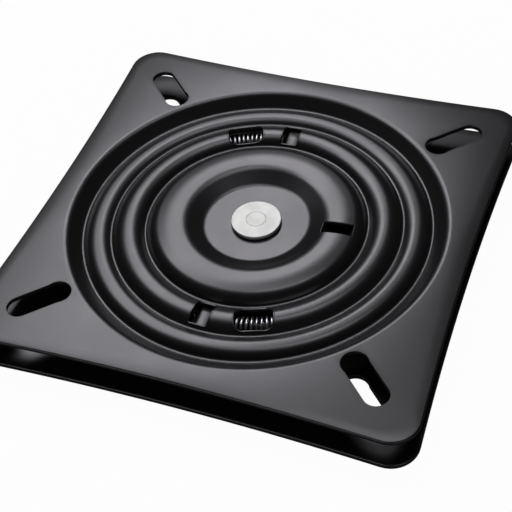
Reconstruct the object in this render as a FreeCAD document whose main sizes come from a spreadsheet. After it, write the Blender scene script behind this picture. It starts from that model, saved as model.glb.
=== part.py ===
import FreeCAD, Part
import math
import os
import Sketcher
from FreeCAD import Placement, Rotation, Vector

# Square swivel plate with spring return: two pressed sheets that turn on a ring of balls.
# Millimetres. Z is the turning axis, the lower mounting face is at zero, sides lie along X and Y.

# Driving dimensions: name, value, meaning. Radii and depths of the pressing are those of its outer face,
# and a depth is measured from the flat mounting face of the plate.
DRIVING = [
    ("side", 179.4, "a side between the points where its neighbours would meet it"),
    ("side_bow", 2.8, "how far the middle of a side is drawn in"),
    ("corner_radius", 11.0, "outline corner"),
    ("overall_height", 16.5, "mounting face to mounting face"),
    ("seat_sheet", 2.0, "thickness of the upper sheet"),
    ("base_sheet", 2.5, "thickness of the lower sheet"),
    ("arris_radius", 0.7, "rounded edge of the outline on the outer face"),
    ("floor_depth", 3.8, "flat centre floor"),
    ("floor_edge", 21.4, "radius where the floor turns up to the dome"),
    ("floor_bend", 3.0, "bend radius there"),
    ("dome_inner", 28.8, "radius of the inner shoulder of the dome"),
    ("dome_inner_depth", 0.3, "its depth"),
    ("dome_inner_bend", 4.5, "its bend radius"),
    ("dome_crown", 35.5, "radius of the crown of the dome"),
    ("dome_crown_depth", 0.0, "its depth"),
    ("dome_crown_bend", 22.0, "its bend radius"),
    ("dome_outer", 42.2, "radius of the outer shoulder of the dome"),
    ("dome_outer_depth", 0.7, "its depth"),
    ("dome_outer_bend", 3.2, "its bend radius"),
    ("inner_valley", 45.0, "radius of the valley between dome and spring tunnel"),
    ("inner_valley_depth", 4.4, "its depth"),
    ("valley_bend", 1.2, "bend radius of the two inner valleys"),
    ("tunnel_radius", 52.0, "radius of the spring tunnel"),
    ("tunnel_half_crest", 3.4, "half width of the tunnel at crest level"),
    ("tunnel_bend", 8.0, "bend radius of the tunnel crest"),
    ("middle_valley", 59.0, "radius of the valley between tunnel and ball race"),
    ("middle_valley_depth", 4.2, "its depth"),
    ("race_radius", 64.8, "radius of the circle of balls"),
    ("race_half_crest", 2.9, "half width of the race at crest level"),
    ("race_bend", 6.0, "bend radius of the race crest"),
    ("outer_valley", 70.6, "radius of the valley round the ball race"),
    ("outer_valley_depth", 5.0, "its depth"),
    ("outer_valley_bend", 1.5, "its bend radius"),
    ("rim_edge", 76.5, "radius where the recess meets the flat rim"),
    ("rim_bend", 4.0, "its bend radius"),
    ("slot_setback", 34.85, "middle of a bolt slot from the point where two sides would meet"),
    ("slot_length", 26.0, "overall length of a bolt slot"),
    ("slot_width", 10.2, "width of a bolt slot"),
    ("slot_eye", 10.8, "diameter of the punched eye at its inner end"),
    ("slot_end_flat", 0.1, "half the short flat left at a slot's outer end"),
    ("slot_root", 0.2, "corner radius where a slot runs into its eye"),
    ("stop_strip_width", 5.2, "pressed strip that holds the spring ends"),
    ("stop_strip_gap", 1.2, "cut beside that strip"),
    ("stop_strip_depth", 5.4, "depth of its flat"),
    ("stop_strip_half_flat", 3.4, "half length of its flat along the radius"),
    ("stop_window_length", 10.4, "radial length of the opening round the strip"),
    ("stop_window_corner", 0.8, "corner radius of that opening"),
    ("stop_root", 0.9, "how far the strip's ends stay clear of the valleys"),
    ("stop_angle", 93.0, "angle of a strip to either side of X"),
    ("view_window_length", 15.0, "spring window along the tunnel"),
    ("view_window_width", 10.2, "spring window across the tunnel"),
    ("view_window_corner", 3.4, "its corner radius"),
    ("view_window_turn", 22.0, "angle between strip and spring window"),
    ("turn_stop_angle", 4.5, "angle of the turn stop on the upper plate"),
    ("turn_stop_start", 27.6, "radius where the turn stop leaves the dome"),
    ("turn_stop_end", 39.8, "radius where its opening ends"),
    ("turn_stop_drop", 2.6, "radial length of its bends"),
    ("turn_stop_depth", 4.6, "depth of its flat"),
    ("turn_stop_width", 5.2, "width of the pressed strip"),
    ("turn_stop_gap", 0.5, "cut beside it"),
    ("turn_stop_corner", 0.4, "corner radius of its opening"),
    ("turn_stop_root", 0.6, "length by which its ends run into the dome"),
    ("turn_limit", 90.0, "turn to either side, degrees"),
    ("turn_clear", 0.2, "gap between stop and ear at the limit"),
    ("ear_inner", 32.4, "inner radius of an ear on the lower plate"),
    ("ear_width", 5.0, "radial width of an ear"),
    ("ear_lap", 1.4, "height by which ear and turn stop overlap"),
    ("ear_slit", 0.3, "cut beside an ear"),
    ("ball_size", 7.14, "ball diameter"),
    ("ball_count", 24.0, "balls in the race"),
    ("ball_clear", 0.05, "gap above and below a ball"),
    ("cage_sheet", 0.8, "thickness of the ball cage"),
    ("cage_width", 10.4, "radial width of the cage"),
    ("cage_clear", 0.15, "gap round a ball in its pocket"),
    ("spring_outer", 9.0, "outer diameter of a return spring"),
    ("spring_wire", 1.1, "its wire"),
    ("spring_clear", 0.3, "gap between spring and tunnel, and at its ends"),
    ("pin_size", 8.0, "pivot pin diameter"),
    ("pin_clear", 0.08, "radial running gap on the pin"),
    ("pin_head_size", 17.0, "diameter of the pin head under the lower plate"),
    ("pin_head_height", 2.4, "height of that head"),
    ("pin_head_edge", 0.6, "chamfer round that head"),
    ("washer_size", 20.4, "bright washer that the pin is riveted over"),
    ("washer_sheet", 1.3, "its thickness"),
    ("washer_edge", 0.25, "chamfer round it"),
    ("slip_size", 19.0, "plastic slip washer under it"),
    ("slip_sheet", 0.5, "its thickness"),
    ("thrust_clear", 0.05, "running gap against the turning plate"),
    ("bush_size", 19.0, "plastic bush between the two floors"),
    ("bush_edge", 0.6, "chamfer round its ends"),
]

# The trimming blank against the sheet's radius, and the length of a through cut in overall heights.
BLANK_MARGIN = 1.1
THROUGH = 4

doc = FreeCAD.newDocument("swivel_plate")
sheet = doc.addObject("Spreadsheet::Sheet", "Sizes")
for row, (alias, value, meaning) in enumerate(DRIVING, start=1):
    sheet.set(f"A{row}", meaning)
    sheet.set(f"B{row}", str(value))
    sheet.setAlias(f"B{row}", alias)
doc.recompute()


def size(alias):
    return float(sheet.get(alias))


class Length:
    """A length that carries its number and the text that binds a drawing to the sheet."""

    def __init__(self, value, text):
        self.value = value
        self.text = text

    def __add__(self, other):
        other = as_length(other)
        return Length(self.value + other.value, f"({self.text} + {other.text})")

    def __sub__(self, other):
        other = as_length(other)
        return Length(self.value - other.value, f"({self.text} - {other.text})")

    def __mul__(self, factor):
        factor = as_length(factor)
        return Length(self.value * factor.value, f"({self.text} * {factor.text})")

    def __truediv__(self, other):
        other = as_length(other)
        return Length(self.value / other.value, f"({self.text} / {other.text})")

    def __neg__(self):
        return Length(-self.value, f"(-{self.text})")


def as_length(thing):
    if isinstance(thing, Length):
        return thing
    if isinstance(thing, str):
        return Length(size(thing), f"Sizes.{thing}")
    return Length(float(thing), f"{thing}")


def plane(body, role):
    for feature in body.Origin.OriginFeatures:
        if feature.Role == role:
            return feature


def new_sketch(body, name, role="XY_Plane", turn=None, lift=None):
    """A sketch on a plane of the body's origin, turned about the body's axis and lifted off it."""
    sketch = body.newObject("Sketcher::SketchObject", name)
    sketch.AttachmentSupport = [(plane(body, role), "")]
    sketch.MapMode = "FlatFace"
    if turn is not None:
        turn = as_length(turn)
        axis = Vector(0, 0, 1) if role == "XY_Plane" else Vector(0, 1, 0)
        sketch.AttachmentOffset = Placement(Vector(), Rotation(axis, turn.value))
        sketch.setExpression(".AttachmentOffset.Rotation.Angle", turn.text)
    if lift is not None:
        lift = as_length(lift)
        sketch.AttachmentOffset.Base.z = lift.value
        sketch.setExpression(".AttachmentOffset.Base.z", lift.text)
    return sketch


def bind(sketch, index, length):
    """Tie one constraint of a sketch to the sheet."""
    sketch.setExpression(f"Constraints[{index}]", length.text)


def pin_point(sketch, geometry, end, x, y):
    """Hold one end of a piece of geometry at x, y from the origin."""
    x, y = as_length(x), as_length(y)
    bind(sketch, sketch.addConstraint(Sketcher.Constraint("DistanceX", -1, 1, geometry, end, x.value)), x)
    bind(sketch, sketch.addConstraint(Sketcher.Constraint("DistanceY", -1, 1, geometry, end, y.value)), y)


def add_circle(sketch, x, y, diameter):
    x, y, diameter = as_length(x), as_length(y), as_length(diameter)
    circle = Part.Circle(Vector(x.value, y.value, 0), Vector(0, 0, 1), diameter.value / 2)
    index = sketch.addGeometry(circle, False)
    bind(sketch, sketch.addConstraint(Sketcher.Constraint("Diameter", index, diameter.value)), diameter)
    pin_point(sketch, index, 3, x, y)
    return index


def add_polygon(sketch, corners):
    """A closed outline of straight lines through corners given as pairs of lengths."""
    corners = [(as_length(x), as_length(y)) for x, y in corners]
    points = [Vector(x.value, y.value, 0) for x, y in corners]
    lines = []
    for start, end in zip(points, points[1:] + points[:1]):
        lines.append(sketch.addGeometry(Part.LineSegment(start, end), False))
    for line, following in zip(lines, lines[1:] + lines[:1]):
        sketch.addConstraint(Sketcher.Constraint("Coincident", line, 2, following, 1))
    for line, (x, y) in zip(lines, corners):
        pin_point(sketch, line, 1, x, y)


def direction(start, end):
    return (end - start).normalize()


def bend_arc(before, corner, after, radius):
    """The arc of a radius that rounds a corner: its centre, its two ends and which way it turns."""
    arriving, leaving = direction(before, corner), direction(corner, after)
    cross = arriving.x * leaving.y - arriving.y * leaving.x
    turn = math.copysign(1, cross)
    half_angle = math.acos(max(-1, min(1, arriving.dot(leaving)))) / 2
    reach = radius * math.tan(half_angle)
    start, end = corner - arriving * reach, corner + leaving * reach
    centre = start + Vector(-arriving.y, arriving.x, 0) * (radius * turn)
    return centre, start, end, turn


def arc_between(centre, start, end, turn):
    """An arc from start to end, and the numbers of its first and last end in a sketch."""
    first, last = (start, end) if turn > 0 else (end, start)
    radius = (start - centre).Length
    angles = [math.atan2(p.y - centre.y, p.x - centre.x) for p in (first, last)]
    arc = Part.ArcOfCircle(Part.Circle(centre, Vector(0, 0, 1), radius), angles[0], angles[1])
    return (arc, 1, 2) if turn > 0 else (arc, 2, 1)


def add_bent_line(sketch, corners, closed):
    """Straight runs joined by tangent arcs. Each corner is x, y and the arc's radius, None at a free end.

    Returns the lines and, for each rounded corner, its arc, radius and turning side.
    """
    corners = [(as_length(x), as_length(y), None if r is None else as_length(r)) for x, y, r in corners]
    points = [Vector(x.value, y.value, 0) for x, y, r in corners]
    count = len(points)
    rounded = range(count) if closed else range(1, count - 1)
    shaped = {}
    for k in rounded:
        shaped[k] = bend_arc(points[k - 1], points[k], points[(k + 1) % count], corners[k][2].value)
    lines = []
    for k in range(count if closed else count - 1):
        following = (k + 1) % count
        start = shaped[k][2] if k in shaped else points[k]
        end = shaped[following][1] if following in shaped else points[following]
        lines.append(sketch.addGeometry(Part.LineSegment(start, end), False))
    arcs = []
    for k in rounded:
        centre, start, end, turn = shaped[k]
        arc, first, last = arc_between(centre, start, end, turn)
        index = sketch.addGeometry(arc, False)
        arriving, leaving = lines[k - 1], lines[k]
        sketch.addConstraint(Sketcher.Constraint("Tangent", arriving, 2, index, first))
        sketch.addConstraint(Sketcher.Constraint("Tangent", index, last, leaving, 1))
        radius = corners[k][2]
        bind(sketch, sketch.addConstraint(Sketcher.Constraint("Radius", index, radius.value)), radius)
        apex = sketch.addGeometry(Part.Point(points[k]), True)
        sketch.addConstraint(Sketcher.Constraint("PointOnObject", apex, 1, arriving))
        sketch.addConstraint(Sketcher.Constraint("PointOnObject", apex, 1, leaving))
        pin_point(sketch, apex, 1, corners[k][0], corners[k][1])
        arcs.append((index, radius, turn, centre))
    return lines, arcs


def add_sheet_section(sketch, corners, thickness):
    """The section of a pressed sheet: the outer face from corners, the inner face one thickness away."""
    thickness = as_length(thickness)
    lines, arcs = add_bent_line(sketch, corners, closed=False)
    pin_point(sketch, lines[0], 1, corners[0][0], corners[0][1])
    pin_point(sketch, lines[-1], 2, corners[-1][0], corners[-1][1])
    offset = []
    for line in lines:
        piece = sketch.Geometry[line]
        along = direction(piece.StartPoint, piece.EndPoint)
        away = Vector(-along.y, along.x, 0) * thickness.value
        moved = Part.LineSegment(piece.StartPoint + away, piece.EndPoint + away)
        offset.append(sketch.addGeometry(moved, False))
    for place, (arc, radius, turn, centre) in enumerate(arcs):
        inner = radius - thickness if turn > 0 else radius + thickness
        start, end = sketch.Geometry[offset[place]].EndPoint, sketch.Geometry[offset[place + 1]].StartPoint
        piece, first, last = arc_between(centre, start, end, turn)
        index = sketch.addGeometry(piece, False)
        sketch.addConstraint(Sketcher.Constraint("Tangent", offset[place], 2, index, first))
        sketch.addConstraint(Sketcher.Constraint("Tangent", index, last, offset[place + 1], 1))
        sketch.addConstraint(Sketcher.Constraint("Coincident", index, 3, arc, 3))
        bind(sketch, sketch.addConstraint(Sketcher.Constraint("Radius", index, inner.value)), inner)
    for outer_line, inner_line, end in ((lines[0], offset[0], 1), (lines[-1], offset[-1], 2)):
        sketch.addConstraint(Sketcher.Constraint("Parallel", outer_line, inner_line))
        points = [sketch.Geometry[k].StartPoint if end == 1 else sketch.Geometry[k].EndPoint
                  for k in (outer_line, inner_line)]
        closing = sketch.addGeometry(Part.LineSegment(*points), False)
        sketch.addConstraint(Sketcher.Constraint("Coincident", closing, 1, outer_line, end))
        sketch.addConstraint(Sketcher.Constraint("Coincident", closing, 2, inner_line, end))
        sketch.addConstraint(Sketcher.Constraint("Vertical", closing))


def revolve(body, sketch, name):
    feature = body.newObject("PartDesign::Revolution", name)
    feature.Profile = sketch
    feature.ReferenceAxis = (sketch, ["V_Axis"])
    feature.Angle = 360
    doc.recompute()
    return feature


def pocket(body, sketch, name):
    """Cut a sketch right through the sheet, and make sure that it cuts."""
    before = body.Shape.Volume
    feature = body.newObject("PartDesign::Pocket", name)
    feature.Profile = sketch
    feature.Midplane = True
    feature.setExpression("Length", f"{THROUGH} * Sizes.overall_height")
    doc.recompute()
    if body.Shape.Volume >= before:
        raise RuntimeError(f"{name} cuts nothing")
    return feature


def pattern(body, originals, name, count):
    feature = body.newObject("PartDesign::PolarPattern", name)
    feature.Originals = originals
    feature.Axis = (plane(body, "Z_Axis"), [""])
    feature.Angle = 360
    feature.Occurrences = int(count)
    body.Tip = feature
    doc.recompute()
    return feature


def pad(body, sketch, name, length, both_ways=False):
    before = body.Shape.Volume
    feature = body.newObject("PartDesign::Pad", name)
    feature.Profile = sketch
    feature.Midplane = both_ways
    feature.setExpression("Length", as_length(length).text)
    doc.recompute()
    if body.Shape.Volume <= before:
        raise RuntimeError(f"{name} adds nothing")
    return feature


def crest_depth(inside, clear):
    """Depth of a bead whose inner faces clear what runs between the two plates."""
    room = as_length("overall_height") - "seat_sheet" - "base_sheet" - inside
    return room / 2 - clear


def middle_height():
    """Height of the plane that lies halfway between the two inner faces."""
    return (as_length("overall_height") + "base_sheet" - "seat_sheet") / 2


def pressing_corners(hole):
    """Corners of the outer face from the pin hole out past the plate's corners: radius, depth, bend."""
    tunnel, race = as_length("tunnel_radius"), as_length("race_radius")
    tunnel_crest = crest_depth("spring_outer", "spring_clear")
    race_crest = crest_depth("ball_size", "ball_clear")
    return [
        (hole, "floor_depth", None),
        ("floor_edge", "floor_depth", "floor_bend"),
        ("dome_inner", "dome_inner_depth", "dome_inner_bend"),
        ("dome_crown", "dome_crown_depth", "dome_crown_bend"),
        ("dome_outer", "dome_outer_depth", "dome_outer_bend"),
        ("inner_valley", "inner_valley_depth", "valley_bend"),
        (tunnel - "tunnel_half_crest", tunnel_crest, "tunnel_bend"),
        (tunnel + "tunnel_half_crest", tunnel_crest, "tunnel_bend"),
        ("middle_valley", "middle_valley_depth", "valley_bend"),
        (race - "race_half_crest", race_crest, "race_bend"),
        (race + "race_half_crest", race_crest, "race_bend"),
        ("outer_valley", "outer_valley_depth", "outer_valley_bend"),
        ("rim_edge", 0, "rim_bend"),
        ("side", 0, None),
    ]


def add_outline(sketch):
    """The plate's outline: four sides drawn in along flat arcs, joined by round corners."""
    half = as_length("side") / 2
    bow = as_length("side_bow")
    side_arc = (half * half + bow * bow) / (bow * 2)
    side_centre = half - bow + side_arc
    corner = as_length("corner_radius")
    # A corner arc touches the two side arcs next to it, so its centre c on the diagonal meets
    # (side_centre - c)^2 + c^2 = (side_arc + corner)^2.
    linear, reach = side_centre.value, side_arc.value + corner.value
    centre = (linear - math.sqrt(2 * reach * reach - linear * linear)) / 2
    angle = math.degrees(math.atan2(centre, linear - centre))
    sides, corners = [], []
    for quarter in range(4):
        turn = Rotation(Vector(0, 0, 1), 90 * quarter)
        middle = turn.multVec(Vector(side_centre.value, 0, 0))
        circle = Part.Circle(middle, Vector(0, 0, 1), side_arc.value)
        start, end = (math.radians(180 - angle + 90 * quarter), math.radians(180 + angle + 90 * quarter))
        index = sketch.addGeometry(Part.ArcOfCircle(circle, start, end), False)
        bind(sketch, sketch.addConstraint(Sketcher.Constraint("Radius", index, side_arc.value)), side_arc)
        signs = [(1, 0), (0, 1), (-1, 0), (0, -1)][quarter]
        pin_point(sketch, index, 3, side_centre * signs[0], side_centre * signs[1])
        sides.append(index)
    for quarter in range(4):
        turn = Rotation(Vector(0, 0, 1), 90 * quarter)
        middle = turn.multVec(Vector(centre, centre, 0))
        circle = Part.Circle(middle, Vector(0, 0, 1), corner.value)
        start, end = (math.radians(-angle + 90 * quarter), math.radians(90 + angle + 90 * quarter))
        index = sketch.addGeometry(Part.ArcOfCircle(circle, start, end), False)
        bind(sketch, sketch.addConstraint(Sketcher.Constraint("Radius", index, corner.value)), corner)
        corners.append(index)
    for quarter in range(4):
        following = (quarter + 1) % 4
        sketch.addConstraint(Sketcher.Constraint("Tangent", corners[quarter], 1, sides[quarter], 1))
        sketch.addConstraint(Sketcher.Constraint("Tangent", corners[quarter], 2, sides[following], 2))


def trim_outline(body):
    sketch = new_sketch(body, "outline")
    add_outline(sketch)
    add_circle(sketch, 0, 0, as_length("side") * 2 * BLANK_MARGIN)
    pocket(body, sketch, "trim")


def round_arris(body):
    """Round the outline's edge on the outer face."""
    reach = size("side") / 2 - size("corner_radius")
    names = []
    for number, edge in enumerate(body.Tip.Shape.Edges, start=1):
        box = edge.BoundBox
        flat = abs(box.ZMin) < 1e-4 and abs(box.ZMax) < 1e-4
        middle = edge.CenterOfMass
        if flat and max(abs(middle.x), abs(middle.y)) > reach:
            names.append(f"Edge{number}")
    shape_before = body.Tip
    feature = body.newObject("PartDesign::Fillet", "arris")
    feature.Base = (shape_before, names)
    feature.setExpression("Radius", "Sizes.arris_radius")
    body.Tip = feature
    doc.recompute()


def add_window(sketch, inner, outer, half_width, corner):
    """A rounded opening that lies along the sketch's X axis."""
    outline = [(inner, -half_width), (outer, -half_width), (outer, half_width), (inner, half_width)]
    add_bent_line(sketch, [(x, y, corner) for x, y in outline], closed=True)


def cut_slots(body):
    """Four bolt slots along the diagonals, each with a round eye at its inner end."""
    edge, eye = as_length("slot_width") / 2, as_length("slot_eye")
    centre = as_length("side") / 2 * math.sqrt(2) - "slot_setback"
    start = centre - as_length("slot_length") / 2 + eye / 2
    end = centre + as_length("slot_length") / 2
    corner, root = edge - "slot_end_flat", "slot_root"
    sketch = new_sketch(body, "slot", turn=45)
    add_bent_line(sketch, [(start, -edge, root), (end, -edge, corner),
                           (end, edge, corner), (start, edge, root)], closed=True)
    slot = pocket(body, sketch, "slot_cut")
    pattern(body, [slot], "slots", 4)
    sketch = new_sketch(body, "eye", turn=45)
    add_circle(sketch, start, 0, eye)
    eye_cut = pocket(body, sketch, "eye_cut")
    pattern(body, [eye_cut], "eyes", 4)


# The two spring stops lie at the same angle to either side of X.
STOPS = ((1, "first"), (-1, "second"))


def press_spring_stops(body, thickness):
    """Two openings in the tunnel, each bridged by a strip pressed flat that the springs push against."""
    radius = as_length("tunnel_radius")
    half_window = as_length("stop_strip_width") / 2 + "stop_strip_gap"
    half_length = as_length("stop_window_length") / 2
    flat, depth = as_length("stop_strip_half_flat"), as_length("stop_strip_depth")
    root = as_length("stop_root")
    low, high = as_length("inner_valley"), as_length("middle_valley")
    face = [(low + root, as_length("inner_valley_depth")), (radius - flat, depth),
            (radius + flat, depth), (high - root, as_length("middle_valley_depth"))]
    back = [(x, y + thickness) for x, y in reversed(face)]
    for side, name in STOPS:
        turn = as_length("stop_angle") * side
        sketch = new_sketch(body, f"{name}_stop_window", turn=turn)
        add_window(sketch, radius - half_length, radius + half_length, half_window, "stop_window_corner")
        pocket(body, sketch, f"{name}_stop_opening")
        sketch = new_sketch(body, f"{name}_stop_strip", "XZ_Plane", turn=turn)
        add_polygon(sketch, face + back)
        pad(body, sketch, f"{name}_stop_bridge", "stop_strip_width", both_ways=True)


def cut_spring_windows(body):
    """Two rounded windows over the springs."""
    radius = as_length("tunnel_radius")
    half_width, half_length = as_length("view_window_width") / 2, as_length("view_window_length") / 2
    for side, name in STOPS:
        turn = as_length("stop_angle") * side - "view_window_turn"
        sketch = new_sketch(body, f"{name}_spring_window", turn=turn)
        add_window(sketch, radius - half_width, radius + half_width, half_length, "view_window_corner")
        pocket(body, sketch, f"{name}_spring_window_cut")


def pressed_plate(name, thickness, hole):
    """One pressed sheet as it lies with its mounting face down."""
    body = doc.addObject("PartDesign::Body", name)
    body.Label = name
    sketch = new_sketch(body, "section", "XZ_Plane")
    add_sheet_section(sketch, pressing_corners(hole), thickness)
    revolve(body, sketch, "pressing")
    trim_outline(body)
    cut_slots(body)
    cut_spring_windows(body)
    press_spring_stops(body, thickness)
    return body


def depth_at(radius, near, near_depth, far, far_depth):
    """Depth of the outer face at a radius on the straight run between two corners of the pressing."""
    share = (radius - near) / (as_length(far) - near)
    return as_length(near_depth) + (as_length(far_depth) - near_depth) * share


def press_turn_stop(body):
    """A strip of the upper dome, cut free along both sides and pressed down as the turn stop."""
    turn = -as_length("turn_stop_angle")
    half_window = as_length("turn_stop_width") / 2 + "turn_stop_gap"
    start, end = as_length("turn_stop_start"), as_length("turn_stop_end")
    drop, depth = as_length("turn_stop_drop"), as_length("turn_stop_depth")
    sketch = new_sketch(body, "turn_window", turn=turn)
    add_window(sketch, start, end, half_window, "turn_stop_corner")
    pocket(body, sketch, "turn_opening")
    sketch = new_sketch(body, "turn_strip", "XZ_Plane", turn=turn)
    first, last = start - "turn_stop_root", end + "turn_stop_root"
    first_depth = depth_at(first, "floor_edge", "floor_depth", "dome_inner", "dome_inner_depth")
    last_depth = depth_at(last, "dome_crown", "dome_crown_depth", "dome_outer", "dome_outer_depth")
    face = [(first, first_depth), (start + drop, depth), (end - drop, depth), (last, last_depth)]
    back = [(x, y + "seat_sheet") for x, y in reversed(face)]
    add_polygon(sketch, face + back)
    pad(body, sketch, "turn_bridge", "turn_stop_width", both_ways=True)


def raise_ears(body):
    """Two ears bent up from the lower dome, which the turn stop meets at either end of its travel."""
    top = as_length("overall_height") - "turn_stop_depth" - "seat_sheet" + "ear_lap"
    root = as_length("dome_crown_depth") + as_length("base_sheet") / 2
    inner = as_length("ear_inner")
    outer = inner + "ear_width"
    near = as_length("turn_stop_width") / 2 + "turn_clear"
    far = near + "base_sheet"
    slit_end = far + top - root
    for side, name in ((1, "left"), (-1, "right")):
        turn = as_length("turn_stop_angle") + as_length("turn_limit") * side
        sketch = new_sketch(body, f"{name}_ear_window", turn=turn)
        slit = as_length("ear_slit")
        add_polygon(sketch, [(inner - slit, far * side), (outer + slit, far * side),
                             (outer + slit, slit_end * side), (inner - slit, slit_end * side)])
        pocket(body, sketch, f"{name}_ear_opening")
        sketch = new_sketch(body, f"{name}_ear_foot", turn=turn, lift=root)
        add_polygon(sketch, [(inner, near * side), (outer, near * side),
                             (outer, far * side), (inner, far * side)])
        pad(body, sketch, f"{name}_ear", top - root)


def seat_plate():
    hole = as_length("pin_size") / 2 + "pin_clear"
    body = pressed_plate("seat_plate", "seat_sheet", hole)
    press_turn_stop(body)
    round_arris(body)
    # The upper plate is the same pressing turned over about X.
    body.Placement = Placement(Vector(0, 0, size("overall_height")), Rotation(Vector(1, 0, 0), 180))
    body.setExpression(".Placement.Base.z", "Sizes.overall_height")
    return body


def base_plate():
    body = pressed_plate("base_plate", "base_sheet", as_length("pin_size") / 2)
    raise_ears(body)
    round_arris(body)
    return body


def turned(name, corners):
    """A turned part from the corners of its half section: radius and height."""
    body = doc.addObject("PartDesign::Body", name)
    body.Label = name
    sketch = new_sketch(body, f"{name}_section", "XZ_Plane")
    add_polygon(sketch, corners)
    revolve(body, sketch, f"{name}_turning")
    return body


def heights():
    """Heights of the stack on the pin, from the pin head up."""
    base_floor = as_length("floor_depth")
    bush_foot = base_floor + "base_sheet"
    seat_floor = as_length("overall_height") - "floor_depth"
    bush_top = seat_floor - "seat_sheet" - "thrust_clear"
    slip_foot = seat_floor + "thrust_clear"
    washer_foot = slip_foot + "slip_sheet"
    washer_top = washer_foot + "washer_sheet"
    return base_floor, bush_foot, bush_top, slip_foot, washer_foot, washer_top


def pivot_stack():
    """Pin, bush, slip washer and the bright washer that the pin is riveted over."""
    base_floor, bush_foot, bush_top, slip_foot, washer_foot, washer_top = heights()
    pin = as_length("pin_size") / 2
    head, edge = as_length("pin_head_size") / 2, as_length("pin_head_edge")
    foot = base_floor - "pin_head_height"
    turned("pivot_pin", [(0, foot), (head - edge, foot), (head, foot + edge), (head, base_floor),
                         (pin, base_floor), (pin, washer_top), (0, washer_top)])
    running = pin + "pin_clear"
    outer, edge = as_length("bush_size") / 2, as_length("bush_edge")
    turned("spacer_bush", [(running, bush_foot), (outer - edge, bush_foot), (outer, bush_foot + edge),
                           (outer, bush_top - edge), (outer - edge, bush_top), (running, bush_top)])
    outer = as_length("slip_size") / 2
    turned("slip_washer", [(running, slip_foot), (outer, slip_foot),
                           (outer, washer_foot), (running, washer_foot)])
    outer, edge = as_length("washer_size") / 2, as_length("washer_edge")
    turned("pivot_washer", [(pin, washer_foot), (outer, washer_foot), (outer, washer_top - edge),
                            (outer - edge, washer_top), (pin, washer_top)])


def ball_cage():
    """A flat ring with one round pocket for each ball."""
    body = doc.addObject("PartDesign::Body", "ball_cage")
    body.Label = "ball_cage"
    race, width = as_length("race_radius"), as_length("cage_width")
    foot = middle_height() - as_length("cage_sheet") / 2
    sketch = new_sketch(body, "ring", lift=foot)
    add_circle(sketch, 0, 0, race * 2 + width)
    add_circle(sketch, 0, 0, race * 2 - width)
    feature = body.newObject("PartDesign::Pad", "ring_pad")
    feature.Profile = sketch
    feature.setExpression("Length", "Sizes.cage_sheet")
    doc.recompute()
    sketch = new_sketch(body, "pocket_circle")
    add_circle(sketch, race, 0, as_length("ball_size") + as_length("cage_clear") * 2)
    hole = pocket(body, sketch, "ball_pocket")
    pattern(body, [hole], "ball_pockets", size("ball_count"))
    return body


def balls():
    """The steel balls, each a piece of its own."""
    for number in range(int(size("ball_count"))):
        name = f"ball_{number + 1:02d}"
        ball = doc.addObject("Part::Sphere", name)
        ball.Label = name
        ball.setExpression("Radius", "Sizes.ball_size / 2")
        turn = f"{number} * 360 deg / Sizes.ball_count"
        ball.setExpression(".Placement.Base.x", f"Sizes.race_radius * cos({turn})")
        ball.setExpression(".Placement.Base.y", f"Sizes.race_radius * sin({turn})")
        ball.setExpression(".Placement.Base.z", middle_height().text)


def return_spring(name, turn, sweep):
    """One arc spring, from the stop strip at an angle round to the next one."""
    radius = size("tunnel_radius")
    height = middle_height().value
    end_gap = size("stop_strip_width") / 2 + size("spring_clear")
    inset = math.degrees(end_gap / radius)
    coil = size("spring_outer") / 2
    solids = []
    for reach in (coil, coil - size("spring_wire")):
        circle = Part.Circle(Vector(radius, 0, height), Vector(0, 1, 0), reach).toShape()
        face = Part.Face(Part.Wire(circle))
        face.rotate(Vector(), Vector(0, 0, 1), turn + inset)
        solids.append(face.revolve(Vector(), Vector(0, 0, 1), sweep - 2 * inset))
    spring = doc.addObject("Part::Feature", name)
    spring.Label = name
    spring.Shape = solids[0].cut(solids[1])
    return spring


def check_and_write():
    """Stop at a failed or empty piece, then write one file for each."""
    doc.recompute()
    for thing in doc.Objects:
        if "Invalid" in thing.State or "Error" in thing.State:
            raise RuntimeError(f"{thing.Name} failed: {thing.State}")
    os.makedirs("parts", exist_ok=True)
    kinds = ("PartDesign::Body", "Part::Sphere", "Part::Feature")
    for thing in doc.Objects:
        if thing.TypeId not in kinds:
            continue
        if thing.Shape.isNull() or not thing.Shape.isValid():
            raise RuntimeError(f"{thing.Label} has no sound shape")
        thing.Shape.exportStep(f"parts/{thing.Label}.step")
        box = thing.Shape.BoundBox
        print(f"{thing.Label}: {len(thing.Shape.Solids)} solid, {thing.Shape.Volume:.1f} mm3,"
              f" z {box.ZMin:.2f} to {box.ZMax:.2f}")


seat_plate()
base_plate()
pivot_stack()
ball_cage()
balls()
left_sweep = 360 - 2 * size("stop_angle")
return_spring("return_spring_left", size("stop_angle"), left_sweep)
return_spring("return_spring_right", size("stop_angle") + left_sweep, 360 - left_sweep)
check_and_write()
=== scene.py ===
# %% [markdown]
# A square swivel plate of the kind that goes under a bar stool seat. Two pressed steel sheets, painted black,
# turn against each other on a ring of steel balls. Two arc springs bring the seat back to the front, and a
# riveted pin with a bright washer holds the sheets together.
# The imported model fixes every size. This script dresses it: smooth pressed sheets, real coils, polished
# balls, a turned washer, and a finish for each of them.

import math

import bmesh
import bpy
from mathutils import Matrix, Vector


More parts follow.
